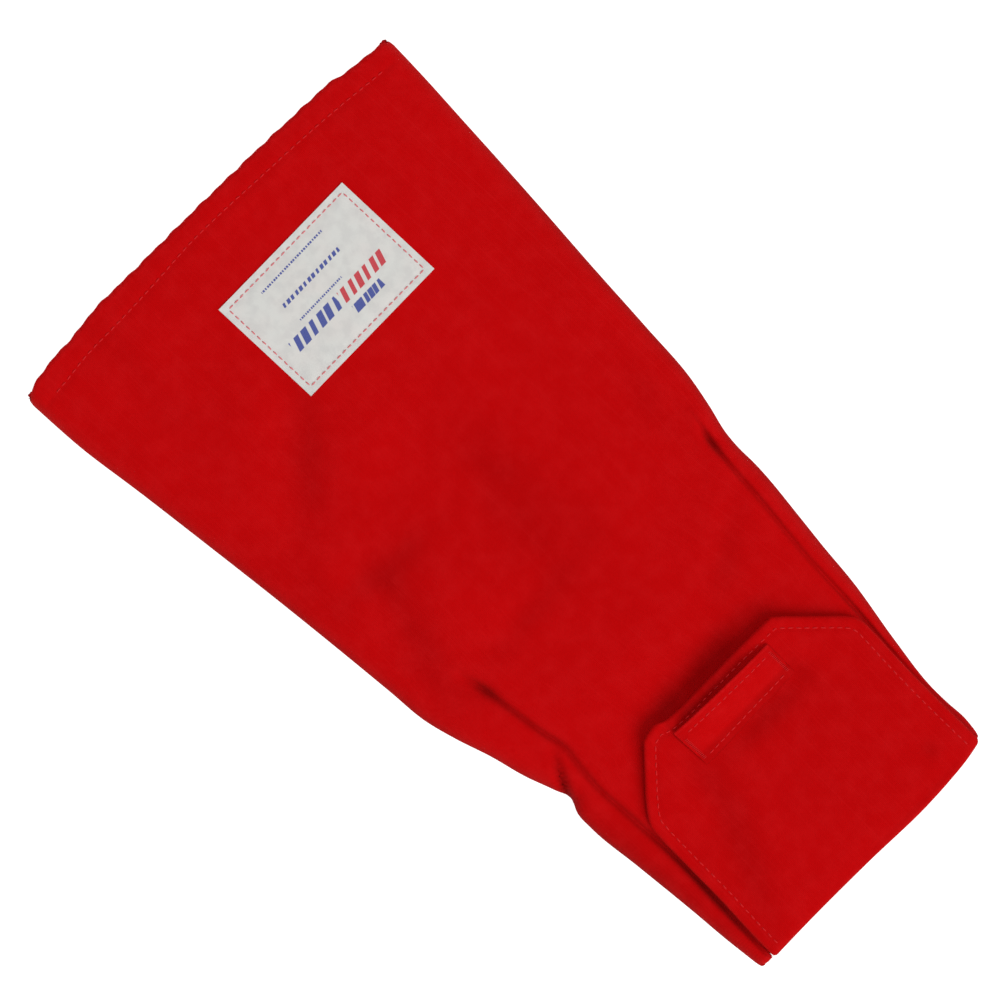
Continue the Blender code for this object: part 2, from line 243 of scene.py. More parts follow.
# Soft waves of the front: centre, half-lengths along and across, turn in degrees, height.
SLEEVE_HILLS = (
    ((-112, -52), 34, 11, -42, -3.2), ((-92, -30), 40, 14, -42, 1.4), ((-134, -68), 30, 12, -42, 1),
    ((-30, 3), 46, 17, -8, -2.8), ((23, -32), 9, 34, 4, -1.1), ((-12, -50), 30, 15, 10, 2),
    ((-46, -66), 9, 26, -6, -2), ((-12, -82), 36, 10, -16, -3.2), ((69, 58), 7, 27, 30, -1.1),
    ((-17, 58), 38, 20, 0, 1.5), ((76, 4), 24, 34, 0, 1.8), ((18, 86), 24, 8, -24, -2.4),
    ((32, 90.3), 6.5, 2.6, -8, -3.2), ((35, -73.6), 6, 2.6, 12, -3), ((18, -80), 22, 7, 14, -2.4),
    ((-160, 88), 40, 20, 6, 1), ((-205, -60), 10, 60, 4, 0.6), ((52, 70), 16, 9, -20, 0.5),
    ((55, -55), 26, 9, 8, 1.4), ((-70, -96), 34, 8, 4, -1.6),
)


def bell(d, width, centre=0.0):
    """A smooth hump across a line: 1 at the centre distance from it, and near 0 from two widths away."""
    return np.exp(-((d - centre) / width) ** 2)


def sleeve_relief(x, y, spread=0.0):
    """Height that the front's creases, grooves and soft waves add. Layers inside it have wider creases."""
    z = np.zeros(np.shape(x))
    d, side, s = distance(x, y, RIGHT_GROOVE)
    z -= RIGHT_DEPTH(s) * (bell(d, 1.25 + spread) + 0.22 * bell(d, 4.6 + spread))
    z += 0.7 * smooth((s - 0.1) / 0.2) * bell(d, 2.6, 4.2) * (side > 0)
    d, side, s = distance(x, y, LEFT_GROOVE)
    z -= LEFT_DEPTH(s) * (bell(d, 1.4 + spread) + 0.25 * bell(d, 5.0 + spread))
    d, side, s = distance(x, y, LEFT_PINCH)
    z -= PINCH_DEPTH(s) * bell(d, 1.7 + spread)
    z += 1.2 * s * bell(d, 3.5, 5.0) * (side < 0)
    for hill in SLEEVE_HILLS:
        z += swell(x, y, *hill)
    z += 0.45 * crumple(x, y, 52.0, 3.0) + 0.20 * crumple(x, y, 17.0, 8.0)
    # The hem's stitches lie in a channel, with small puckers beside it.
    d, side, s = distance(x, y, HEM_LINE)
    z -= 0.26 * bell(d, 1.3 + spread)
    z += (0.18 + 0.12 * np.sin(y / 1.9 + 2 * np.sin(y / 11.0))) * bell(d, 3.2, 4.2) * (side != 0)
    # Under the flap the cloth is pressed flat.
    pressed = smooth((x - 104) / 16) * smooth((y + 67.5) / 3) * smooth((75.5 - y) / 3)
    return z * (1 - pressed) + np.minimum(z, -0.15) * 0.3 * pressed


def back_relief(x, y):
    """The back lies on its support, with stitch channels and hollows that rise a little from it."""
    z = 0.45 * smooth(0.5 + 0.9 * crumple(x, y, 44.0, 21.0)) * smooth((HALF - 16 - np.abs(x)) / 30)
    for line in (HEM_LINE, BACK_WRIST_LINE):
        z = z + BACK_CHANNEL * bell(distance(x, y, line)[0], 1.3)
    return z


# ---- meshes


def new_object(name, data):
    obj = bpy.data.objects.new(name, data)
    bpy.context.scene.collection.objects.link(obj)
    return obj


def mesh_object(name, points, faces, cloth, wear=None, sharp=None, tone=None):
    """An object from points in millimetres, with the cloth's own coordinates kept for its weave.
    Edges between points with the same sharp mark, not 0, are creased."""
    data = bpy.data.meshes.new(name)
    data.from_pydata((np.asarray(points) * MM).tolist(), [], [list(f) for f in faces])
    data.polygons.foreach_set("use_smooth", np.ones(len(data.polygons), bool))
    layer = data.attributes.new("cloth", "FLOAT_VECTOR", "POINT")
    layer.data.foreach_set("vector", (np.asarray(cloth, np.float32) * MM).ravel())
    # The tone attribute holds painted shade, and on the back random mottling.
    for kind, values in (("wear", wear), ("tone", tone)):
        if values is not None:
            layer = data.attributes.new(kind, "FLOAT", "POINT")
            layer.data.foreach_set("value", np.asarray(values, np.float32).ravel())
    if sharp is not None:
        ends = np.zeros(len(data.edges) * 2, np.int64)
        data.edges.foreach_get("vertices", ends)
        ends = ends.reshape(-1, 2)
        layer = data.attributes.new("sharp_edge", "BOOLEAN", "EDGE")
        layer.data.foreach_set("value", (sharp[ends[:, 0]] > 0) & (sharp[ends[:, 0]] == sharp[ends[:, 1]]))
    data.validate()
    return new_object(name, data)


def normals(grid):
    n = np.cross(np.gradient(grid, axis=0), np.gradient(grid, axis=1))
    return n / np.maximum(np.linalg.norm(n, axis=-1, keepdims=True), 1e-9)


def lengths(grid):
    """Cloth coordinates of a grid: its lengths along the middle column and across each row."""
    rows, columns = grid.shape[:2]
    u = steps(grid[:, columns // 2])
    across = np.linalg.norm(np.diff(grid, axis=1), axis=2)
    v = np.concatenate([np.zeros((rows, 1)), np.cumsum(across, axis=1)], axis=1)
    v -= v[:, columns // 2][:, None]
    return xyz(u[:, None], v, 0.0)


def sheet_object(name, outer, thickness, wear=None, tone=None):
    """A closed sheet of cloth: a grid of points and the same grid moved inwards."""
    rows, columns = outer.shape[:2]
    inner = outer - normals(outer) * thickness
    points = np.concatenate([outer.reshape(-1, 3), inner.reshape(-1, 3)])
    index = np.arange(rows * columns).reshape(rows, columns)
    a, b, c, d = index[:-1, :-1], index[1:, :-1], index[1:, 1:], index[:-1, 1:]
    top = np.stack([a, b, c, d], -1).reshape(-1, 4)
    under = top[:, ::-1] + rows * columns
    rim = np.concatenate([index[0, ::-1][:-1], index[:, 0][:-1], index[-1, :][:-1], index[:, -1][::-1][:-1]])
    follow = np.roll(rim, -1)
    strip = np.stack([follow, rim, rim + rows * columns, follow + rows * columns], -1)
    faces = np.concatenate([top, under, strip])
    cloth = np.tile(lengths(outer).reshape(-1, 3), (2, 1))
    # The tone values carry painted shade on the front and flap, random mottling on the back.
    worn, shade_and_mottle = (np.tile(np.zeros(rows * columns) if values is None else np.ravel(values), 2)
                 for values in (wear, tone))
    sharp = np.zeros(2 * rows * columns, int)
    sharp[rim] = 1
    sharp[rim + rows * columns] = 2
    return mesh_object(name, points, faces, cloth, worn, sharp, shade_and_mottle)


def clustered(start, stop, fine, coarse, reach):
    """Positions from start to stop, close together near both ends."""
    total = abs(stop - start)
    places = [0.0]
    while places[-1] < total:
        near = min(places[-1], total - places[-1])
        places.append(places[-1] + fine + (coarse - fine) * float(smooth(near / reach)))
    places = np.array(places) * total / places[-1]
    return start + np.sign(stop - start) * places


# ---- sleeve


def columns_of(arc_count, flat_count):
    """Angle round the long edges, and the place across the flat middle, for each column of the sleeve."""
    arc = np.linspace(SEAM_ANGLE, 90, arc_count)
    angle = np.concatenate([arc, np.full(flat_count - 2, 90.0), arc[::-1]])
    flat = np.concatenate([np.full(arc_count - 1, -1.0), np.linspace(-1, 1, flat_count),
                           np.full(arc_count - 1, 1.0)])
    side = np.concatenate([-np.ones(arc_count), np.zeros(flat_count - 2), np.ones(arc_count)])
    return np.radians(angle), flat, side


def sleeve_grid(path, front, arc_count, flat_count, spread=0.0):
    """A layer of the sleeve: rows follow the path of (place along, depth below the surface).
    The path may differ from column to column."""
    angle, flat, side = columns_of(arc_count, flat_count)
    path = np.array(path, float)
    if path.ndim == 2:
        path = path[:, None, :]
    x, depth = path[..., 0], path[..., 1]
    # A hem's turn draws the sides in less, which keeps the corners sharp.
    narrowing = depth * (0.25 + 0.75 * smooth((HALF - np.abs(x)) / 3.0))
    right, left, edge, seam = right_edge(x), left_edge(x), edge_width(x), seam_height(x)
    low, high = -(left - edge), right - edge
    # At the seam the cloth's edge turns in.
    turned = 0.8 * np.clip(1 - np.degrees(angle) / 9, 0, 1) ** 2
    y = low + (high - low) * (flat + 1) / 2 + side * (edge - narrowing) * np.cos(angle)
    rise = np.broadcast_to(np.sin(angle), y.shape)
    if front:
        # Columns gather at the side grooves, so that these have enough points.
        room = smooth((np.minimum(right - depth - y, left - depth + y) - 0.5) / 4)
        for place, since in ((right_groove_at(x), 14.0), (left_groove_at(x), 20.0)):
            pull = 0.62 * smooth((x - since) / 20) * room
            y = y - pull * (y - place) * bell(y - place, 6.0)
        q = np.clip(np.maximum(y - high, low - y) / (edge - depth), 0, 1)
        rise = np.where(room > 0, np.sqrt(1 - q * q), rise)
    y = y - side * turned
    x = bend_ends(np.broadcast_to(x, y.shape), y)
    if front:
        z = seam + (SLEEVE_TOP - seam - depth) * rise + sleeve_relief(x, y, spread) * rise ** 0.6
    else:
        z = seam - (seam - depth) * rise + back_relief(x, y) * rise
    grid = xyz(x, y, z)
    return grid if front else grid[:, ::-1]


def hem_path(end, inward, straight_steps=8, turn_steps=10):
    """The turned hem at one end: from its edge inside, out to the end and round to the surface."""
    radius = HEM_DEPTH / 2
    centre = end + inward * radius
    path = [(centre + inward * HEM_LENGTH * (1 - k / straight_steps), HEM_DEPTH) for k in range(straight_steps)]
    for k in range(turn_steps + 1):
        a = math.pi * k / turn_steps
        path.append((centre - inward * radius * math.sin(a), radius + radius * math.cos(a)))
    return path


def along(start, stop, fine, coarse, reach):
    """The plain part of a path, on the surface."""
    return [(x, 0.0) for x in clustered(start, stop, fine, coarse, reach)]


elbow_hem = hem_path(-HALF, 1)
back_wrist_hem = hem_path(HALF - BACK_HEM_SHORT, -1)[::-1]
front_wrist_hem = hem_path(HALF + FRONT_HEM_PROUD, -1)[::-1]
start_top = elbow_hem[-1][0]


def front_shell_path():
    """From the elbow hem to the wrist. Beside the flap the shell is hemmed; under it, it stops at the fold."""
    angle, flat, side = columns_of(*FRONT_COLUMNS)
    low, high = edge_width(HALF) - left_edge(HALF), right_edge(HALF) - edge_width(HALF)
    y = low + (high - low) * (flat + 1) / 2 + side * edge_width(HALF) * np.cos(angle)
    beside = 1 - smooth((y + 71.0) / 3.2) * smooth((76.6 - y) / 3.0)
    start = np.array(elbow_hem + along(start_top, TURN_FROM, 0.8, 2.0, 26)[1:])
    rows = start[:, None, :] + np.zeros((1, len(y), 1))
    line = np.array([(TURN_FROM, 0.0)] + front_wrist_hem)
    s = steps(line)
    reach = (FRONT_END - TURN_FROM) + beside * (s[-1] - (FRONT_END - TURN_FROM))
    at = reach * np.linspace(0, 1, 28)[1:, None]
    end = np.stack([np.interp(at, s, line[:, 0]), np.interp(at, s, line[:, 1])], -1)
    return np.concatenate([rows, end])


front_path = front_shell_path()
back_path = elbow_hem + along(start_top, back_wrist_hem[0][0], 0.9, 3.4, 24)[1:] + back_wrist_hem[1:]
back_path = np.array(back_path)[:, None]


def edge_wear(grid, path):
    """How worn the cloth is: most at the turned ends, a little along the sides."""
    side = 0.2 * bell(grid[..., 2], 6.0, 13) * (np.abs(grid[..., 1]) > 40)
    return np.clip(0.6 * bell(np.abs(path[..., 0]), 3.0, HALF) + side, 0, 1)


# Painted shade on the front: the flap's cast shadow beyond its far end and right corner, shade in the creases, in
# the gap beside the flap's left side and in the pinch; with it, broad darker patches across the front. Centre,
# half-lengths, turn, strength.
SHADE_AND_DARK_PATCHES = (
    ((-25, 5), 46, 17, -6, 0.85), ((-8, -78), 34, 14, -22, 0.8), ((-40, -62), 13, 24, 0, 0.7),
    ((25, -30), 7, 38, 4, 0.5), ((-108, -50), 40, 10, -42, 0.7), ((18, 22), 14, 8, 0, 0.4),
    ((-70, -100), 36, 10, 4, 0.5), ((-200, -78), 40, 9, -4, 0.35), ((76, 56), 7, 24, 30, 0.5),
    ((0, 84), 22, 8, -14, 0.5), ((-180, -110), 50, 8, 2, 0.3), ((180, -78), 40, 6, 2, 1.1),
    ((135, -82), 26, 6, 3, 0.6), ((150, -86), 60, 3, 3, 0.7), ((90, 93), 40, 2.5, -8, 0.4),
    ((102, 5), 7, 32, 0, 1.1), ((103, 46), 6, 16, -20, 0.7), ((118, 62), 16, 5, 42, 0.4),
    ((102, 22), 6, 14, 0, 1), ((103, -17), 5, 12, 0, 0.9), ((97, -80), 10, 3.2, -34, 1.6),
)


# Painted shade in the bottom of each groove: the groove, half the line's width, and its strength along the line.
GROOVE_SHADE = (
    (RIGHT_GROOVE, 0.8, (0.0, 2.6, 1.6, 1.4, 1.2, 1.2, 1.4, 1.4, 1.0, 0.8)),
    (LEFT_GROOVE, 0.9, (0.0, 2.6, 2.0, 1.8, 1.6, 1.6, 1.8, 2.2, 2.0, 0.8)),
    (LEFT_GROOVE, 2.6, (0.0, 0.3, 0.3, 0.3, 0.3, 0.4, 0.7, 1.2, 1.3, 0.3)),
    (LEFT_PINCH, 1.6, (0.6, 1.8, 2.4, 2.0)),
)


def painted_shade_and_patches(grid):
    """How much the cloth is darkened: painted shade in patches, along the grooves, at the turned ends and down the
    rounded sides, and broad darker patches.
    """
    x, y, z = grid[..., 0], grid[..., 1], grid[..., 2]
    tone = sum(swell(x, y, *patch) for patch in SHADE_AND_DARK_PATCHES)
    tone = tone * (1 + 0.5 * crumple(x, y, 13.0, 61.0))
    for line, width, strength in GROOVE_SHADE:
        d, _, s = distance(x, y, line)
        tone += np.interp(s, np.linspace(0, 1, len(strength)), strength) * bell(d, width)
    # Painted shade where the cloth turns down the rounded sides and into the hems, less of it towards the elbow
    # end.
    return np.clip(tone + (0.5 + 0.8 * smooth((x + 180) / 60)) * smooth((17.5 - z) / 6), 0, 4)


front_grid = sleeve_grid(front_path, True, *FRONT_COLUMNS)
front_shell = sheet_object("front_shell_cloth", front_grid, SHELL, edge_wear(front_grid, front_path),
                           painted_shade_and_patches(front_grid))
back_grid = sleeve_grid(back_path, False, 14, 60)
back_shell = sheet_object("back_shell_cloth", back_grid, SHELL, edge_wear(back_grid, back_path),
                          0.6 + 0.5 * crumple(back_grid[..., 0], back_grid[..., 1], 30.0, 71.0))

# The layers inside stop short of the ends, the padding more so than the lining.
PADDING_SHORT = 9.0
LINING_SHORT = 3.5
LINING_FRONT_SHORT = 0.7
LAYER_SPREAD = 4.0


def level(depth, start, stop, front, row_count, flat_count):
    """A layer that keeps its depth all the way."""
    path = [(x, depth) for x in np.linspace(start, stop, row_count)]
    return sleeve_grid(path, front, 10, flat_count, LAYER_SPREAD)


padding_end, lining_end = HALF - PADDING_SHORT, HALF - LINING_SHORT
front_padding = sheet_object("front_insulation_layer", level(
    INSULATION_DEPTH, -padding_end, FRONT_END - PADDING_SHORT, True, 110, 50), INSULATION)
back_padding = sheet_object("back_insulation_layer", level(
    INSULATION_DEPTH, -padding_end, padding_end, False, 90, 40), INSULATION)
# The linings' outer side faces the arm, so their rows run the other way and their columns are turned round.
front_lining = sheet_object("front_lining_cloth", level(
    LINING_DEPTH, FRONT_END - LINING_FRONT_SHORT, -lining_end, True, 130, 60)[:, ::-1], LINING)
back_lining = sheet_object("back_lining_cloth", level(
    LINING_DEPTH, lining_end, -lining_end, False, 100, 50)[:, ::-1], LINING)


# ---- flap

flap_right = curve((106, 45), (110, 48.4), (114, 52.6), (120, 58.2), (130, 67.6), (136, 73), (140, 75.9),
                   (144, 77.2), (152, 77.3), (165, 76.4), (185, 75.4), (FLAP_FRONT, 74.8))
flap_left = curve((104, -34), (109, -37.4), (113, -41.4), (120, -48.4), (130, -58.4), (135, -62.8),
                  (139, -65.3), (145, -66.2), (160, -67), (190, -68), (210, -69.3), (FLAP_FRONT, -70))
flap_far = curve((-38, 107.6), (-33, 106.2), (-29, 105.8), (-24, 107.8), (-18, 108.7), (0, 108.9), (30, 109.6),
                 (42, 110.2), (48, 110.6))


def flap_lift(x, y):
    """How far the flap's far end stands up from the sleeve."""
    t = np.clip((163.5 - x) / 55.0, 0, 1.1)
    return (3.1 + 4.4 * bell(y, 31.0, 3)) * t * t


LOOP_HALO = route([(124, 39), (131, 38), (134.6, 31), (135, 14), (134.6, -6), (132.5, -20)], 60)
LOOP_END_CREASE = route([(110, -25.8), (118, -24.6), (126, -23.8), (133, -23.4)], 30)
FLAP_VALLEY = route([(146, -25), (163, -31.5), (178, -39), (193, -49), (212, -58), (222, -62)], 50)


def loop_hollow(x, y):
    """Depth of the hollow that the pull of the finger loop leaves along its near edge."""
    d, _, s = distance(x, y, LOOP_HALO)
    return 2.0 * np.sin(np.pi * np.clip(s, 0.04, 0.96)) ** 0.5 * bell(d, np.where(x > 134.8, 9.0, 6.0))


def flap_relief(x, y, edge):
    """Height of the palm cloth's stitched channel, puffed rim, creases and hollows."""
    fold = smooth((FLAP_FRONT - 2 - x) / 10)
    z = -0.55 * bell(edge, 1.1, TOPSTITCH)
    z += (0.06 + 0.12 * np.sin(x / 2.1 + y / 1.7)) * bell(edge, 1.6, 2.9)
    z += 0.5 * smooth((edge - TOPSTITCH) / 11)
    z -= loop_hollow(x, y)
    z -= 1.3 * bell(distance(x, y, LOOP_END_CREASE)[0], 1.5)
    d, _, s = distance(x, y, FLAP_VALLEY)
    z -= 0.9 * np.sin(np.pi * np.clip(s, 0.05, 0.95)) * bell(d, 8.0)
    z += swell(x, y, (170, 20), 30, 26, 0, 0.5) + swell(x, y, (165, -52), 24, 8, -14, 0.5)
    z += swell(x, y, (210, 55), 5, 5, 0, -0.45) + swell(x, y, (200, -20), 16, 18, 0, 0.35)
    z += 0.22 * crumple(x, y, 30.0, 5.0) + 0.10 * crumple(x, y, 11.0, 9.0)
    return z * fold


def rolled(edge, radius):
    """Share of a rolled edge's height: 0 at the very edge, 1 from radius inwards."""
    t = np.clip(1 - edge / radius, 0, 1)
    return np.sqrt(np.maximum(1 - t * t, 0))


def flap_top(x, y):
    """Height of the side that shows while the flap is folded back."""
    edge = distance(x, y, OUTLINE)[0]
    body = FLAP_TOP + flap_relief(x, y, edge) - FLAP_MIDDLE
    return FLAP_MIDDLE + flap_lift(x, y) + 0.15 + (body - 0.15) * rolled(edge, 2.3)


def flap_under(x, y):
    """Height of the side that lies on the sleeve."""
    edge = distance(x, y, OUTLINE)[0]
    ridge = 0.5 * bell(edge, 1.2, TOPSTITCH)
    return FLAP_MIDDLE + flap_lift(x, y) - 0.15 - (FLAP_MIDDLE - FLAP_UNDER - 0.15 - ridge) * rolled(edge, 2.1)


FLAP_COLUMNS = clustered(0, 1, 0.0028, 0.0105, 0.07)
FLAP_ROWS = clustered(0, 1, 0.0032, 0.0125, 0.06)


def flap_plan(t, start, columns=FLAP_COLUMNS, inset=0.0):
    """Plan positions of a row at t = 0 (near the fold) to 1 (far edge)."""
    t = np.asarray(t, float)[:, None]
    far = FLAP_FAR + inset
    x = start + (far - start) * t
    low = flap_left(x) + inset
    high = flap_right(x) - inset
    y = low + (high - low) * columns[None, :]
    shift = (flap_far(y) - FLAP_FAR) * smooth((FLAP_SQUARE_FROM - x) / (FLAP_SQUARE_FROM - FLAP_FAR))
    return x + shift, y


def flap_outline():
    """The flap's edge in plan: along its right side, round the far end and back along its left side."""
    x, y = flap_plan(np.linspace(0, 1, 90), FLAP_FRONT + 12, np.linspace(0, 1, 60))
    edge = np.stack([x, y], -1)
    return np.concatenate([edge[:, -1], edge[-1, ::-1][1:-1], edge[::-1, 0]])


OUTLINE = flap_outline()


def palm_grid():
    """Visible side of the flap: a tongue in the wrist opening, the fold, and the flap out to its far edge."""
    tongue_left, tongue_right = TONGUE
    rows = []
    for x in np.linspace(TONGUE_START, FOLD_X, 9)[:-1]:
        y = tongue_left + (tongue_right - tongue_left) * FLAP_COLUMNS
        rows.append(xyz(x, y, FOLD_Z - FOLD_RADIUS))
    for k in range(21):
        a = math.radians(-90 + 180 * k / 20)
        x = FOLD_X + FOLD_RADIUS * max(math.cos(a), 0) ** FOLD_SQUARE
        z = FOLD_Z + FOLD_RADIUS * math.copysign(abs(math.sin(a)) ** FOLD_SQUARE, a)
        # The narrow tongue widens to the flap's full width in the fold.
        t = smooth(k / 11)
        low = tongue_left + (flap_left(FLAP_FRONT) - tongue_left) * t
        high = tongue_right + (flap_right(FLAP_FRONT) - tongue_right) * t
        y = low + (high - low) * FLAP_COLUMNS
        edge = np.minimum(y - low, high - y)
        roll = (1 - rolled(edge, 2.3)) * t * 2.0
        rows.append(xyz(x - roll * math.cos(a), y, z - roll * max(math.sin(a), 0)))
    x, y = flap_plan(FLAP_ROWS[1:], FOLD_X)
    rows.extend(xyz(x, y, flap_top(x, y)))
    grid = np.array(rows)
    grid[..., 0] += wrist_shift(np.minimum(grid[..., 0], HALF), grid[..., 1])
    return grid[:, ::-1]


def under_grid():
    """Underside of the flap, which turns down over the front shell's end."""
    rows = []
    low, high = flap_left(FLAP_FRONT) + 2, flap_right(FLAP_FRONT) - 2
    y = low + (high - low) * FLAP_COLUMNS
    for z in np.linspace(UNDER_FOLD_LOW, FOLD_Z, 6)[:-1]:
        rows.append(xyz(UNDER_FOLD_X + UNDER_FOLD_RADIUS, y, z))
    for k in range(6):
        a = math.radians(90 * k / 5)
        x, z = UNDER_FOLD_X + UNDER_FOLD_RADIUS * math.cos(a), FOLD_Z + UNDER_FOLD_RADIUS * math.sin(a)
        rows.append(xyz(x, y, z))
    x, y = flap_plan(FLAP_ROWS[2:], UNDER_FOLD_X)
    rows.extend(xyz(x, y, flap_under(x, y)))
    grid = np.array(rows)
    grid[..., 0] += wrist_shift(grid[..., 0], grid[..., 1])
    return grid


# Painted shade on the flap's visible cloth: the loop's shadow on the rim beyond it, the hollows beside the loop's
# near edge and ends, the crease down the flap, a dent near the fold, and a faint even darkening over the palm.
# Centre, half-lengths, turn, strength.
FLAP_SHADE_PATCHES = (
    ((143, 12), 7, 26, 0, 1.2), ((137, 40), 14, 4, 0, 0.5), ((176, -41), 40, 8, -28, 1),
    ((210, 55), 5, 4, 0, 0.8), ((138, -30), 18, 6, -10, 0.6), ((112, 8), 4, 26, 0, 2.2),
    ((111.8, -14), 1.8, 9, 0, 1.5), ((175, 0), 50, 70, 0, 0.22),
)
palm = palm_grid()
palm_x, palm_y, palm_z = np.moveaxis(palm, -1, 0)
# Painted shade where the cloth rolls down at the flap's edges and round the fold, and in a band across the fold's
# outer end.
palm_shade = 1.2 * smooth((23.6 - palm_z) / 2.5) + 0.6 * bell(palm_x, 2.0, 226.5)
palm_shade += sum(swell(palm_x, palm_y, *patch) for patch in FLAP_SHADE_PATCHES)
flap_cloth = sheet_object("flap_palm_cloth", palm, FLAP_CLOTH, 0.28 * bell(palm_z, 1.6, 21.5), palm_shade)
flap_shell = sheet_object("flap_shell_cloth", under_grid(), FLAP_CLOTH)

FLAP_PADDING = 1.6
FLAP_PADDING_TOP = 23.3
FLAP_PADDING_START = 219.0
FLAP_PADDING_INSET = 8.0
pad_x, pad_y = flap_plan(np.linspace(0, 1, 44), FLAP_PADDING_START, np.linspace(0, 1, 48), FLAP_PADDING_INSET)
far_from_edge = np.full(pad_x.shape, 20.0)
pad_z = FLAP_PADDING_TOP + flap_lift(pad_x, pad_y) + np.minimum(flap_relief(pad_x, pad_y, far_from_edge), 0)
flap_padding = sheet_object("flap_insulation_layer", xyz(pad_x, pad_y, pad_z)[:, ::-1], FLAP_PADDING)

# ---- finger loop

STRAP = 1.5
LOOP_LOW, LOOP_HIGH = -25.0, 37.0
LOOP_NEAR = 137.4
loop_far = curve((-26, 115.6), (-20, 116), (8, 117.4), (34, 118.6), (38, 118.8))
FAR_ROW_INSET, NEAR_ROW_INSET = 3.6, 2.6


def loop_height(x, y):
    """Middle of the strap: it stands up between its sewn ends, most at its far edge."""
    u = (LOOP_NEAR - x) / (LOOP_NEAR - loop_far(y))
    half = np.abs(2 * (y - LOOP_LOW) / (LOOP_HIGH - LOOP_LOW) - 1)
    arch = 1 - half ** 5
    rise = 0.5 + 2.9 * smooth((u - 0.22) / 0.7)
    z = FLAP_TOP + 0.10 + flap_lift(x, y) + 0.80 - loop_hollow(x, y) + arch * rise
    z = z - 0.75 * smooth(1 - u / 0.16) - 0.35 * smooth((half - 0.86) / 0.12)
    z = z - 0.26 * bell(x - loop_far(y), 0.8, FAR_ROW_INSET)
    z = z - 0.26 * bell(LOOP_NEAR - x, 0.8, NEAR_ROW_INSET)
    z = z + 0.25 * np.sin(y / 2.6) * bell(u, 0.12, 1)
    return z + 0.3 * crumple(x, y, 14.0, 31.0)


across_loop, along_loop = np.meshgrid(clustered(0, 1, 0.012, 0.04, 0.12), clustered(0, 1, 0.006, 0.02, 0.2),
                                      indexing="ij")
loop_y = LOOP_LOW + (LOOP_HIGH - LOOP_LOW) * along_loop
loop_x = LOOP_NEAR + (loop_far(loop_y) - LOOP_NEAR) * across_loop
loop_base = xyz(loop_x, loop_y, loop_height(loop_x, loop_y))


def strap_object(name, base, thickness):
    """A folded strap with rounded long edges: the grid above and below, joined by a rolled edge."""
    up = -normals(base) * thickness / 2
    rows, columns = base.shape[:2]
    ring = list(base + up)
    for edge, beside, sense in ((-1, -2, 1), (0, 1, -1)):
        out = base[edge] - base[beside]
        out *= thickness / 2 / np.linalg.norm(out, axis=-1, keepdims=True)
        for a in np.pi * np.arange(1, 6) / 6:
            ring.append(base[edge] + sense * up[edge] * math.cos(a) + out * math.sin(a))
        if sense > 0:
            ring.extend((base - up)[::-1])
    ring = np.array(ring)
    count = len(ring)
    index = np.arange(count * columns).reshape(count, columns)
    follow = np.roll(index, -1, axis=0)
    faces = np.stack([index[:, :-1], index[:, 1:], follow[:, 1:], follow[:, :-1]], -1).reshape(-1, 4).tolist()
    # Each end is closed by strips between the upper and lower halves, and a fan in each rolled edge.
    below = 2 * rows + 4
    caps = [(i, i + 1, below - i - 1, below - i) for i in range(rows - 1)]
    caps += [range(rows - 1, rows + 6), [k % count for k in range(below, below + 7)]]
    for column, order in ((0, 1), (columns - 1, -1)):
        faces += [[int(index[k, column]) for k in cap][::order] for cap in caps]
    s = steps(ring[:, columns // 2])
    t = steps(base[rows // 2])
    cloth = xyz(t[None, :], s[:, None], 0.0).reshape(-1, 3)
    wear = np.zeros((count, columns))
    wear[rows - 3:rows + 8] = 0.6
    # Painted shade on the strap's near part, where it dips into the hollow along its edge.
    tone = 1.1 * smooth((ring[..., 0] - 130.5) / 3.0)
    return mesh_object(name, ring.reshape(-1, 3), faces, cloth, wear, tone=tone)


finger_loop = strap_object("finger_loop_strap", loop_base, STRAP)

# ---- label

LABEL_X = (-185.6, -124.2)
LABEL_Y = (-28.4, 57.8)
LABEL_TAPE = 0.42
LABEL_LIFT = 0.55
LABEL_INSET = 3.4
LABEL_SKEW = (0.8, 0.6)


def sleeve_top(x, y):
    """Height of the sleeve's front surface, away from its rounded edges."""
    return SLEEVE_TOP + sleeve_relief(x, y)


def label_grid():
    """The label's surface, pulled down along its stitches and a little out of square."""
    u, v = np.meshgrid(clustered(0, 1, 0.012, 0.026, 0.1), clustered(0, 1, 0.009, 0.019, 0.08), indexing="ij")
    x = LABEL_X[0] + (LABEL_X[1] - LABEL_X[0]) * u
    y = LABEL_Y[0] + (LABEL_Y[1] - LABEL_Y[0]) * v
    edge = np.minimum(np.minimum(x - LABEL_X[0], LABEL_X[1] - x), np.minimum(y - LABEL_Y[0], LABEL_Y[1] - y))
    z = sleeve_top(x, y) + LABEL_LIFT
    z += 0.28 * smooth((edge - LABEL_INSET) / 5) - 0.22 * bell(edge, 0.8, LABEL_INSET)
    z += 0.12 * crumple(x, y, 9.0, 41.0) + 0.10 * np.sin(y / 2.2) * bell(edge, 1.6)
    return xyz(x + LABEL_SKEW[0] * (v - 0.5), y + LABEL_SKEW[1] * (u - 0.5), z)


label_points = label_grid()
label = sheet_object("label_tape_patch", label_points, LABEL_TAPE)

# ---- stitches


UP, DOWN = (0, 0, 1), (0, 0, -1)


def stitches(name, lines, pitch=4.0, length=3.0, radius=0.34, dip=0.42, lift=-0.06, up=UP, under=()):
    """Separate stitches along lines of points: each one a short thread that dives in at both ends.
    The lines in under are the same seam where it shows on the other side."""
    points, faces, cloth = [], [], []
    for line, normal in [(line, up) for line in lines] + [(line, DOWN) for line in under]:
        stitch_line(np.asarray(line, float), points, faces, cloth, pitch, length, radius, dip, lift, normal)
    return mesh_object(name, points, faces, cloth)


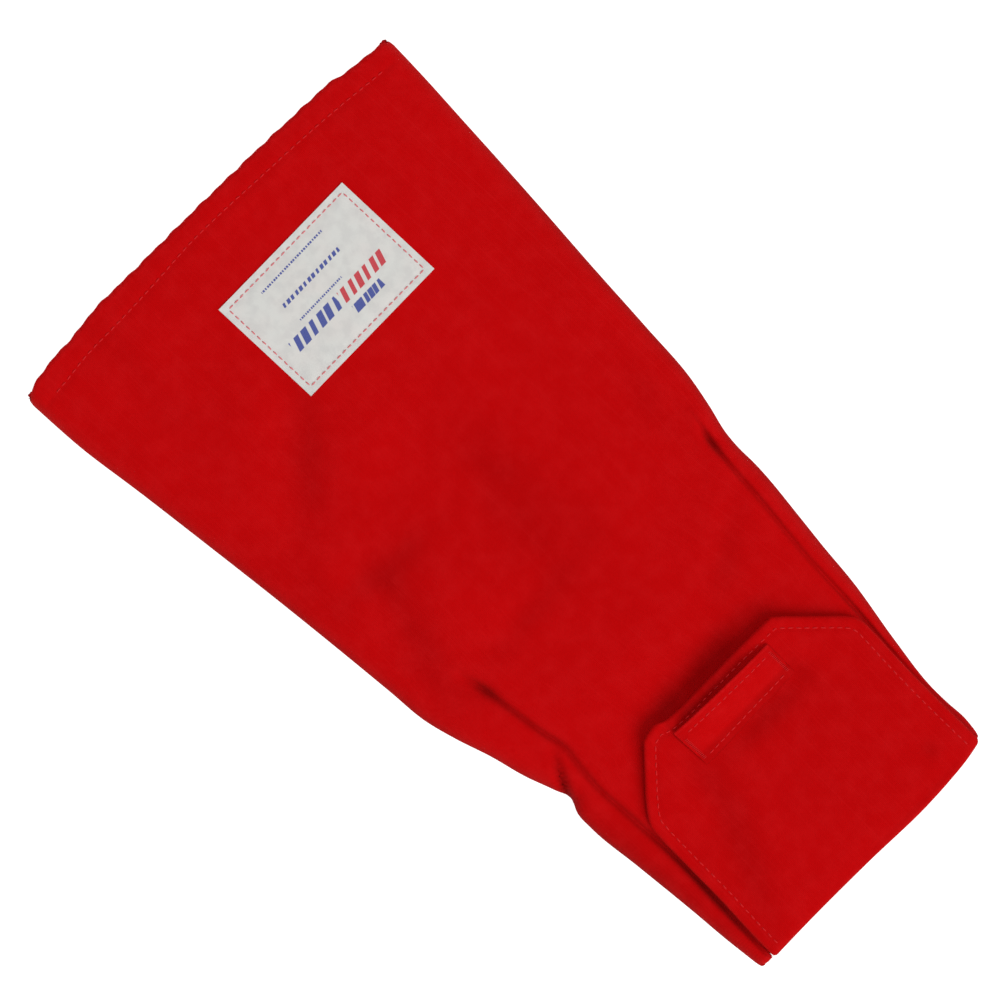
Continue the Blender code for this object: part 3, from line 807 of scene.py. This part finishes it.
def stitch_line(line, points, faces, cloth, pitch, length, radius, dip, lift, up):
    """Adds the stitches of one line to the lists of points, faces and cloth coordinates."""
    s = steps(line)
    count = max(int((s[-1] - length) / pitch) + 1, 1)
    length = min(length, s[-1])
    first = (s[-1] - (count - 1) * pitch - length) / 2
    around, rings = 6, 7
    for k in range(count):
        at = first + k * pitch + np.linspace(0, length, rings)
        centre = np.stack([np.interp(at, s, line[:, i]) for i in range(3)], -1)
        tangent = centre[-1] - centre[0]
        tangent /= np.linalg.norm(tangent)
        across = np.cross(up, tangent)
        across /= np.linalg.norm(across)
        normal = np.cross(tangent, across)
        t = np.linspace(-1, 1, rings)
        wobble = 0.10 * math.sin(k * 2.4)
        base = len(points)
        for i in range(rings):
            r = radius * math.sqrt(max(1 - abs(t[i]) ** 3.0, 0.10))
            c = centre[i] + normal * (lift + radius - dip * abs(t[i]) ** 2.6) + across * wobble * t[i]
            for j in range(around):
                a = 2 * math.pi * j / around
                points.append(c + across * r * math.cos(a) + normal * r * math.sin(a))
                cloth.append((k * pitch + at[i] - at[0], r * a, 0))
        for i in range(rings - 1):
            for j in range(around):
                p, q = base + i * around + j, base + i * around + (j + 1) % around
                faces.append((p, q, q + around, p + around))
        faces.append([base + j for j in range(around - 1, -1, -1)])
        faces.append([base + (rings - 1) * around + j for j in range(around)])


def on(height, line):
    """A line in plan, laid on a surface."""
    x, y = np.asarray(line, float).T
    return xyz(x, y, height(x, y))


hem_line = HEM_LINE[(HEM_LINE[:, 1] > -114) & (HEM_LINE[:, 1] < 112)]
elbow_front_stitches = stitches("elbow_hem_front_stitches", [on(sleeve_top, hem_line)])


def in_back_channel(line, reach):
    """The part of a line up to reach from the middle, in its channel under the back."""
    return on(lambda x, y: np.full(len(x), BACK_CHANNEL), line[np.abs(line[:, 1]) < reach])


elbow_back_stitches = stitches("elbow_hem_back_stitches", [in_back_channel(HEM_LINE, 112)], up=DOWN)
wrist_back_stitches = stitches("wrist_hem_back_stitches", [in_back_channel(BACK_WRIST_LINE, 66)], up=DOWN)


def seam_line(edge, side):
    x = np.linspace(-HALF + 4, HALF - 6, 200)
    y = side * (edge(x) - 0.75)
    return xyz(bend_ends(x, y), y, seam_height(x))


# Pitch, length, radius, dip and lift of finer stitches.
SEAM_STITCH = (3.4, 2.7, 0.24, 0.3, 0.0)
TACK_STITCH = (4.0, 2.3, 0.2, 0.2, 0.05)
right_seam_stitches = stitches("right_side_seam_stitches", [seam_line(right_edge, 1)], *SEAM_STITCH, (0, 1, 0))
left_seam_stitches = stitches("left_side_seam_stitches", [seam_line(left_edge, -1)], *SEAM_STITCH, (0, -1, 0))


def label_side(a, b):
    """A straight stitched side of the label between two corners given as shares of its width and length."""
    t = np.linspace(0, 1, 60)
    u, v = a[0] + (b[0] - a[0]) * t, a[1] + (b[1] - a[1]) * t
    x = LABEL_X[0] + (LABEL_X[1] - LABEL_X[0]) * u + LABEL_SKEW[0] * (v - 0.5)
    y = LABEL_Y[0] + (LABEL_Y[1] - LABEL_Y[0]) * v + LABEL_SKEW[1] * (u - 0.5)
    return xyz(x, y, sleeve_top(x, y) + 0.36 + 0.12 * crumple(x, y, 9.0, 41.0))


inset_u, inset_v = LABEL_INSET / (LABEL_X[1] - LABEL_X[0]), LABEL_INSET / (LABEL_Y[1] - LABEL_Y[0])
corners = [(inset_u, inset_v), (1 - inset_u, inset_v), (1 - inset_u, 1 - inset_v), (inset_u, 1 - inset_v)]
label_lines = [label_side(corners[k], corners[(k + 1) % 4]) for k in range(4)]
label_stitches = stitches("label_stitches", label_lines, 3.6, 2.7, 0.32, 0.40, -0.04)


TOPSTITCH_END, UNDER_STITCH_END = 224, 219


def inset_line(outline, inset):
    """A line that runs inside the outline, a fixed distance from it."""
    d = np.gradient(outline, axis=0)
    n = np.stack([-d[:, 1], d[:, 0]], -1)
    n /= np.linalg.norm(n, axis=-1, keepdims=True)
    moved = outline + n * inset
    clear = distance(moved[:, 0], moved[:, 1], outline)[0] > inset - 0.08
    return moved[clear & (moved[:, 0] < TOPSTITCH_END)]


topstitch_line = inset_line(route(OUTLINE, 900), TOPSTITCH)
under_line = topstitch_line[topstitch_line[:, 0] < UNDER_STITCH_END]
flap_stitches = stitches("flap_topstitches", [on(flap_top, topstitch_line)], under=[on(flap_under, under_line)])


# Rows along the strap stop short of its sewn ends. Bar tacks cross it there: start, spacing and inset.
ROW_SHORT = 4.0
TACK_START, TACK_SPACING, TACK_INSET = 121.5, 0.85, 1.9
row_y = np.linspace(LOOP_LOW + ROW_SHORT, LOOP_HIGH - ROW_SHORT, 40)


def loop_row(x):
    return xyz(x, row_y, loop_height(x, row_y) + STRAP / 2)


loop_far_stitches = stitches("finger_loop_far_stitches", [loop_row(loop_far(row_y) + FAR_ROW_INSET)], 3.8)
loop_near_stitches = stitches("finger_loop_near_stitches", [loop_row(LOOP_NEAR - NEAR_ROW_INSET + 0 * row_y)], 3.8)


def tack(y):
    """A bar tack: a close row of short stitches across the strap's sewn end."""
    places = TACK_START + TACK_SPACING * np.arange(16)
    return [on(lambda a, b: loop_height(a, b) + 0.72, [(x, y - 1.0), (x + 0.45, y + 1.0)]) for x in places]


left_tack = stitches("finger_loop_left_tack_stitches", tack(LOOP_LOW + TACK_INSET), *TACK_STITCH)
right_tack = stitches("finger_loop_right_tack_stitches", tack(LOOP_HIGH - TACK_INSET), *TACK_STITCH)

# ---- materials


class Nodes:
    """Short calls for building a node tree."""

    def __init__(self, name):
        self.material = bpy.data.materials.new(name)
        self.material.use_nodes = True
        self.tree = self.material.node_tree
        self.shader = self.tree.nodes["Principled BSDF"]

    def plug(self, socket, value):
        if isinstance(value, bpy.types.NodeSocket):
            self.tree.links.new(value, socket)
        else:
            socket.default_value = value

    def math(self, operation, a, b=0.0):
        n = self.tree.nodes.new("ShaderNodeMath")
        n.operation = operation
        for socket, value in zip(n.inputs, (a, b)):
            self.plug(socket, value)
        return n.outputs[0]

    def add(self, a, b):
        return self.math("ADD", a, b)

    def minus(self, a, b):
        return self.math("SUBTRACT", a, b)

    def times(self, a, b):
        return self.math("MULTIPLY", a, b)

    def attribute(self, name, output):
        n = self.tree.nodes.new("ShaderNodeAttribute")
        n.attribute_name = name
        return n.outputs[output]

    def split(self, vector):
        n = self.tree.nodes.new("ShaderNodeSeparateXYZ")
        self.plug(n.inputs[0], vector)
        return n.outputs

    def noise(self, vector, scale, detail=2.0, roughness=0.5):
        n = self.tree.nodes.new("ShaderNodeTexNoise")
        self.plug(n.inputs["Vector"], vector)
        self.plug(n.inputs["Scale"], scale)
        self.plug(n.inputs["Detail"], detail)
        self.plug(n.inputs["Roughness"], roughness)
        return n.outputs[0]

    def ramp(self, value, low, high, out_high=1.0, out_low=0.0):
        n = self.tree.nodes.new("ShaderNodeMapRange")
        for socket, v in zip(n.inputs, (value, low, high, out_low, out_high)):
            self.plug(socket, v)
        return n.outputs[0]

    def mix(self, share, a, b):
        n = self.tree.nodes.new("ShaderNodeMix")
        n.data_type = "RGBA"
        self.plug(n.inputs[0], share)
        self.plug(n.inputs[6], a)
        self.plug(n.inputs[7], b)
        return n.outputs[2]

    def bump(self, height, strength, distance_m):
        n = self.tree.nodes.new("ShaderNodeBump")
        self.plug(n.inputs["Height"], height)
        n.inputs["Strength"].default_value = strength
        n.inputs["Distance"].default_value = distance_m
        self.plug(self.shader.inputs["Normal"], n.outputs[0])

    def finish_with(self, colour, roughness, sheen, tint, specular):
        for name, value in (("Base Color", colour), ("Roughness", roughness), ("Sheen Weight", sheen),
                            ("Sheen Roughness", 0.5), ("Sheen Tint", tint), ("Specular IOR Level", specular)):
            self.plug(self.shader.inputs[name], value)
        return self.material


def rgb(r, g, b):
    return (r, g, b, 1.0)


WHITE = rgb(1, 1, 1)


def weave(m, u, v, pitch, wander=0.18):
    """Height of a plain weave: a small crown wherever a thread passes over another."""
    drift = m.times(m.minus(m.noise(m.attribute("cloth", "Vector"), 260.0, 1.0), 0.5), wander * pitch * 6)
    k = math.pi / pitch
    a = m.math("SINE", m.times(m.add(u, drift), k))
    b = m.math("SINE", m.times(m.add(v, drift), k))
    cell = m.times(a, b)
    return cell, m.math("POWER", m.math("ABSOLUTE", cell), 0.6)


def cotton(name, colour, dark, shade_and_mottle_colour, worn, pitch=0.00072, relief=0.00011):
    """Woven cotton: painted shade between its threads, painted shade and mottling where the tone attribute says,
    darker in broad random patches, paler where it is worn.
    """
    m = Nodes(name)
    cloth = m.attribute("cloth", "Vector")
    u, v, _ = m.split(cloth)
    cell, crown = weave(m, u, v, pitch)
    slub = m.noise(v, 900.0, 0.0)
    fibre = m.noise(cloth, 2600.0, 3.0, 0.7)
    broad = m.noise(cloth, 14.0, 3.0, 0.55)
    mottled = m.noise(cloth, 95.0, 3.0, 0.6)
    m.bump(m.add(m.add(crown, m.times(fibre, 0.55)), m.times(cell, 0.12)), 0.75, relief)
    # Painted shade between the threads, where the weave's crowns are low.
    tone = m.mix(m.ramp(crown, 0.0, 0.8, 0.0, 0.55), colour, dark)
    tone = m.mix(m.ramp(broad, 0.35, 0.68, 0.20), tone, dark)
    # Painted shade, and on the back random mottling, mixed in by the tone attribute.
    tone = m.mix(m.times(m.attribute("tone", "Fac"), 0.19), tone, shade_and_mottle_colour)
    tone = m.mix(m.ramp(mottled, 0.42, 0.72, 0.15), tone, worn)
    tone = m.mix(m.ramp(slub, 0.55, 0.8, 0.10), tone, worn)
    worn_here = m.times(m.attribute("wear", "Fac"), m.ramp(m.noise(cloth, 420.0, 2.0), 0.35, 0.65))
    tone = m.mix(m.times(worn_here, 0.5), tone, worn)
    return m.finish_with(tone, m.ramp(fibre, 0.3, 0.7, 0.94, 0.82), 0.03, rgb(1.0, 0.25, 0.2), 0.02)


# The darker red serves painted shade between the threads and broad random patches; the deepest red serves the
# painted shade and mottling of the tone attribute.
RED = rgb(0.468, 0.0014, 0.0022)
RED_DARK = rgb(0.330, 0.0008, 0.0012)
RED_SHADE_AND_MOTTLE = rgb(0.090, 0.0004, 0.0005)
RED_WORN = rgb(0.560, 0.011, 0.013)
red_cotton = cotton("red_cotton_canvas", RED, RED_DARK, RED_SHADE_AND_MOTTLE, RED_WORN)
lining_cotton = cotton("red_lining_cotton", rgb(0.36, 0.006, 0.007), rgb(0.25, 0.003, 0.004),
                       rgb(0.09, 0.001, 0.001), rgb(0.46, 0.020, 0.020), pitch=0.0005, relief=0.00007)


def wadding_material():
    m = Nodes("wadding_felt")
    cloth = m.attribute("cloth", "Vector")
    fibre = m.noise(cloth, 900.0, 5.0, 0.75)
    clump = m.noise(cloth, 160.0, 3.0, 0.6)
    m.bump(m.add(fibre, m.times(clump, 1.4)), 0.8, 0.0005)
    tone = m.mix(m.ramp(clump, 0.35, 0.7), rgb(0.80, 0.78, 0.72), rgb(0.66, 0.63, 0.56))
    return m.finish_with(tone, 0.95, 0.2, WHITE, 0.1)


def thread_material(name, colour, dark):
    """Twisted sewing thread: fine slanting plies along each stitch."""
    m = Nodes(name)
    u, v, _ = m.split(m.attribute("cloth", "Vector"))
    twist = m.math("SINE", m.add(m.times(u, 2 * math.pi / 0.00055),
                                  m.times(v, 2 * math.pi / 0.0008)))
    m.bump(twist, 0.6, 0.00006)
    # Painted shade in the grooves between the twisted plies.
    tone = m.mix(m.ramp(twist, -1.0, 0.4, 0.0, 0.6), colour, dark)
    return m.finish_with(tone, 0.6, 0.05, rgb(1.0, 0.4, 0.35), 0.10)


red_thread = thread_material("red_sewing_thread", rgb(0.60, 0.012, 0.015), rgb(0.46, 0.006, 0.008))
label_thread = thread_material("label_sewing_thread", rgb(0.70, 0.190, 0.210), rgb(0.52, 0.100, 0.110))

BLUR = 0.12
BLUE_INK = rgb(0.035, 0.055, 0.26)
RED_INK = rgb(0.46, 0.020, 0.035)
# Plain printed bars: middle along, middle across, width along, length across, ink, then the pitch, slant and
# cut of the gaps that break each bar into strokes.
LABEL_BARS = (
    (9.3, 41.0, 1.1, 42.0, BLUE_INK, 1.5, 0.0, -0.35),
    (21.4, 42.0, 2.3, 39.0, BLUE_INK, 2.9, 0.3, -0.25),
    (31.8, 38.0, 1.0, 29.0, BLUE_INK, 1.3, 0.0, -0.35),
    (39.0, 60.0, 7.0, 30.0, RED_INK, 5.0, 0.35, -0.15),
    (39.0, 27.0, 7.0, 32.0, BLUE_INK, 5.4, 0.35, -0.30),
    (47.6, 55.0, 4.6, 19.0, BLUE_INK, 3.2, 0.3, -0.75),
)


def label_material():
    m = Nodes("woven_label_tape")
    cloth = m.attribute("cloth", "Vector")
    u, v, _ = m.split(cloth)
    cell, crown = weave(m, u, v, 0.0004, 0.08)
    x, y, _ = m.split(m.attribute("print", "Vector"))
    fibre = m.noise(cloth, 2400.0, 2.0, 0.6)
    m.bump(m.add(crown, m.times(fibre, 0.4)), 0.5, 0.00005)
    # Painted shade between the label's threads, where the weave's crowns are low.
    tone = m.mix(m.ramp(crown, 0.0, 0.7, 0.0, 0.5), rgb(0.585, 0.585, 0.560), rgb(0.49, 0.485, 0.460))
    tone = m.mix(m.ramp(m.noise(cloth, 60.0, 3.0), 0.4, 0.75, 0.35), tone, rgb(0.60, 0.52, 0.50))
    tone = m.mix(m.ramp(m.noise(cloth, 170.0, 3.0), 0.42, 0.62, 0.40), tone, rgb(0.47, 0.46, 0.45))
    ragged = m.times(m.minus(fibre, 0.5), 0.0005)
    for along_m, across_m, wide, long, ink, pitch, slant, cut in LABEL_BARS:
        inside = 1.0
        for place, middle, size in ((x, along_m, wide), (y, across_m, long)):
            off = m.add(m.math("ABSOLUTE", m.minus(place, middle * MM)), ragged)
            inside = m.times(inside, m.ramp(off, (size / 2 + BLUR) * MM, (size / 2 - BLUR) * MM))
        place = m.add(y, m.times(x, slant))
        k = 2 * math.pi / (pitch * MM)
        gaps = m.add(m.math("SINE", m.times(place, k)), m.times(m.math("SINE", m.times(place, k * 0.37)), 0.45))
        inside = m.times(inside, m.ramp(gaps, cut - BLUR, cut + BLUR))
        tone = m.mix(m.times(inside, m.ramp(crown, 0.0, 0.5, 1.0, 0.75)), tone, ink)
    return m.finish_with(tone, 0.6, 0.1, WHITE, 0.25)


label_tape = label_material()
wadding = wadding_material()

# The print follows the label's plan, from its corner.
printed = (label_points - (LABEL_X[0], LABEL_Y[0], 0)) * (1, 1, 0)
layer = label.data.attributes.new("print", "FLOAT_VECTOR", "POINT")
layer.data.foreach_set("vector", np.tile(printed.astype(np.float32).ravel() * MM, 2))

# ---- what each piece is

# Object, material, the body it rides on (none where it runs between two and stays unattached), and the node it
# stands for.
PIECES = (
    (front_shell, red_cotton, "sleeve", "front_shell"),
    (back_shell, red_cotton, "sleeve", "back_shell"),
    (front_padding, wadding, "sleeve", "front_insulation"),
    (back_padding, wadding, "sleeve", "back_insulation"),
    (front_lining, lining_cotton, "sleeve", "front_lining"),
    (back_lining, lining_cotton, "sleeve", "back_lining"),
    (label, label_tape, "sleeve", "label"),
    (label_stitches, label_thread, "sleeve", "label_stitching"),
    (elbow_front_stitches, red_thread, "sleeve", "elbow_hem_front_stitching"),
    (elbow_back_stitches, red_thread, "sleeve", "elbow_hem_back_stitching"),
    (wrist_back_stitches, red_thread, "sleeve", "wrist_hem_back_stitching"),
    (left_seam_stitches, red_thread, "sleeve", "left_side_seam"),
    (right_seam_stitches, red_thread, "sleeve", "right_side_seam"),
    (flap_shell, red_cotton, None, "flap_shell"),
    (flap_cloth, red_cotton, None, "flap_lining"),
    (flap_padding, wadding, "flap", "flap_insulation"),
    (flap_stitches, red_thread, "flap", "flap_topstitching"),
    (left_tack, red_thread, "flap", "finger_loop_left_tack"),
    (right_tack, red_thread, "flap", "finger_loop_right_tack"),
    (finger_loop, red_cotton, None, "finger_loop"),
    (loop_far_stitches, red_thread, "finger_loop", "finger_loop_upper_stitching"),
    (loop_near_stitches, red_thread, "finger_loop", "finger_loop_lower_stitching"),
)
for piece, material, body, node in PIECES:
    piece.data.materials.append(material)
    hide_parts(node)
    if body:
        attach(piece, body)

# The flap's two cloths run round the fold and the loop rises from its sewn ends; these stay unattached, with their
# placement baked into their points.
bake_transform(flap_cloth)
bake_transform(flap_shell)
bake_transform(finger_loop)

# ---- floor, lights and camera


# In metres from here on. The floor lies a hair under the sleeve, so that their surfaces don't coincide.
FLOOR_HALF = 4.0
FLOOR_Z = -0.0003
FLOOR_GREY = 0.42
FLOOR_GLOW = 0.86
WORLD_STRENGTH = 0.36
VIEW_CENTRE = (-0.0232, -0.0013, 0.018)
VIEW_WIDTH = 0.4869
VIEW_TURN = 43.6
LENS, SENSOR = 100.0, 36.0
scene = bpy.context.scene


def floor():
    """A pale floor that glows a little, so that it stays near white."""
    data = bpy.data.meshes.new("pale_floor")
    corners = [(x * FLOOR_HALF, y * FLOOR_HALF, FLOOR_Z) for x, y in ((-1, -1), (1, -1), (1, 1), (-1, 1))]
    data.from_pydata(corners, [], [(0, 1, 2, 3)])
    m = Nodes("pale_floor")
    m.plug(m.shader.inputs["Emission Color"], WHITE)
    m.plug(m.shader.inputs["Emission Strength"], FLOOR_GLOW)
    data.materials.append(m.finish_with(rgb(FLOOR_GREY, FLOOR_GREY, FLOOR_GREY), 0.9, 0.0, WHITE, 0.0))
    new_object("pale_floor", data)


def area_light(name, place, size, power):
    """A round soft light that points at the origin."""
    data = bpy.data.lights.new(name, "AREA")
    data.shape = "DISK"
    data.size = size
    data.energy = power
    light = new_object(name, data)
    light.location = place
    light.rotation_euler = (-Vector(place)).to_track_quat("-Z", "Y").to_euler()


floor()
area_light("key_light", place=(6.0, -0.4, 6.2), size=6.8, power=606.0)
area_light("fill_light", place=(-2.5, 2.0, 8.0), size=6.0, power=260.0)
world = bpy.data.worlds.new("studio")
world.use_nodes = True
background = world.node_tree.nodes["Background"]
background.inputs["Color"].default_value = WHITE
background.inputs["Strength"].default_value = WORLD_STRENGTH
scene.world = world

camera_data = bpy.data.cameras.new("camera")
camera_data.lens = LENS
camera_data.sensor_width = SENSOR
camera = new_object("camera", camera_data)
camera.location = Vector(VIEW_CENTRE) + Vector((0, 0, VIEW_WIDTH * LENS / SENSOR))
camera.rotation_euler = (0, 0, math.radians(VIEW_TURN))
scene.camera = camera
scene.view_settings.view_transform = "Standard"

bpy.context.view_layer.update()
